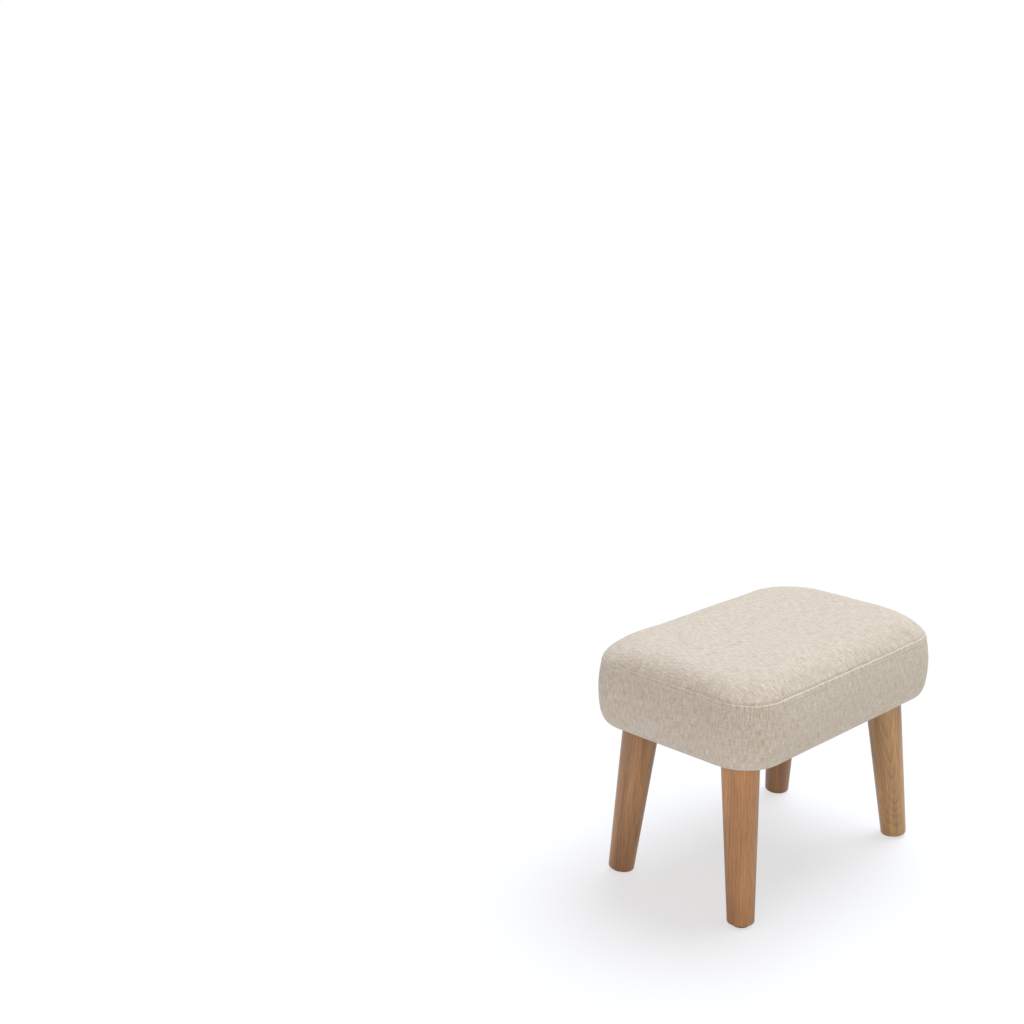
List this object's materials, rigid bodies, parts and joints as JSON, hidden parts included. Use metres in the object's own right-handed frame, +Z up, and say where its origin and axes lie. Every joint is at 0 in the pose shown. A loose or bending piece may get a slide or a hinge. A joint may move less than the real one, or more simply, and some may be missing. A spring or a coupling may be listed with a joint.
{
  "type": "footstool",
  "caption": "Upholstered footstool with a crowned, seamed fabric seat on splayed, tapered, screw-in wooden legs.",
  "frame": {"origin": "on the floor, under the middle of the seat", "axes": "+X along the length of the seat, +Y along its depth towards the back, +Z up"},
  "size_m": [0.45, 0.298, 0.3444],
  "materials": {
    "cover_fabric": "woven linen-look melange",
    "leg_wood": "satin oiled",
    "plywood": "raw",
    "upholstery_foam": "open-cell foam",
    "polyester_wadding": "bonded wadding",
    "dust_cloth": "non-woven",
    "staple_wire": "galvanised",
    "plate_steel": "zinc-plated",
    "bolt_steel": "zinc-plated",
    "screw_steel": "yellow zinc",
    "felt": "pressed felt"
  },
  "bodies": {
    "root": {"base_board": "plywood", "cover_side_band": "cover_fabric", "cover_staples": "staple_wire", "cover_top_panel": "cover_fabric", "dust_cover": "dust_cloth", "dust_cover_staples": "staple_wire", "felt_pad_back_left": "felt", "felt_pad_back_right": "felt", "felt_pad_front_left": "felt", "felt_pad_front_right": "felt", "hanger_bolt_back_left": "bolt_steel", "hanger_bolt_back_right": "bolt_steel", "hanger_bolt_front_left": "bolt_steel", "hanger_bolt_front_right": "bolt_steel", "leg_back_left": "leg_wood", "leg_back_right": "leg_wood", "leg_front_left": "leg_wood", "leg_front_right": "leg_wood", "leg_plate_back_left": "plate_steel", "leg_plate_back_right": "plate_steel", "leg_plate_front_left": "plate_steel", "leg_plate_front_right": "plate_steel", "plate_screws_back_left": "screw_steel", "plate_screws_back_right": "screw_steel", "plate_screws_front_left": "screw_steel", "plate_screws_front_right": "screw_steel", "seat_foam": "upholstery_foam", "wadding_wrap": "polyester_wadding"}
  },
  "joints": []
}
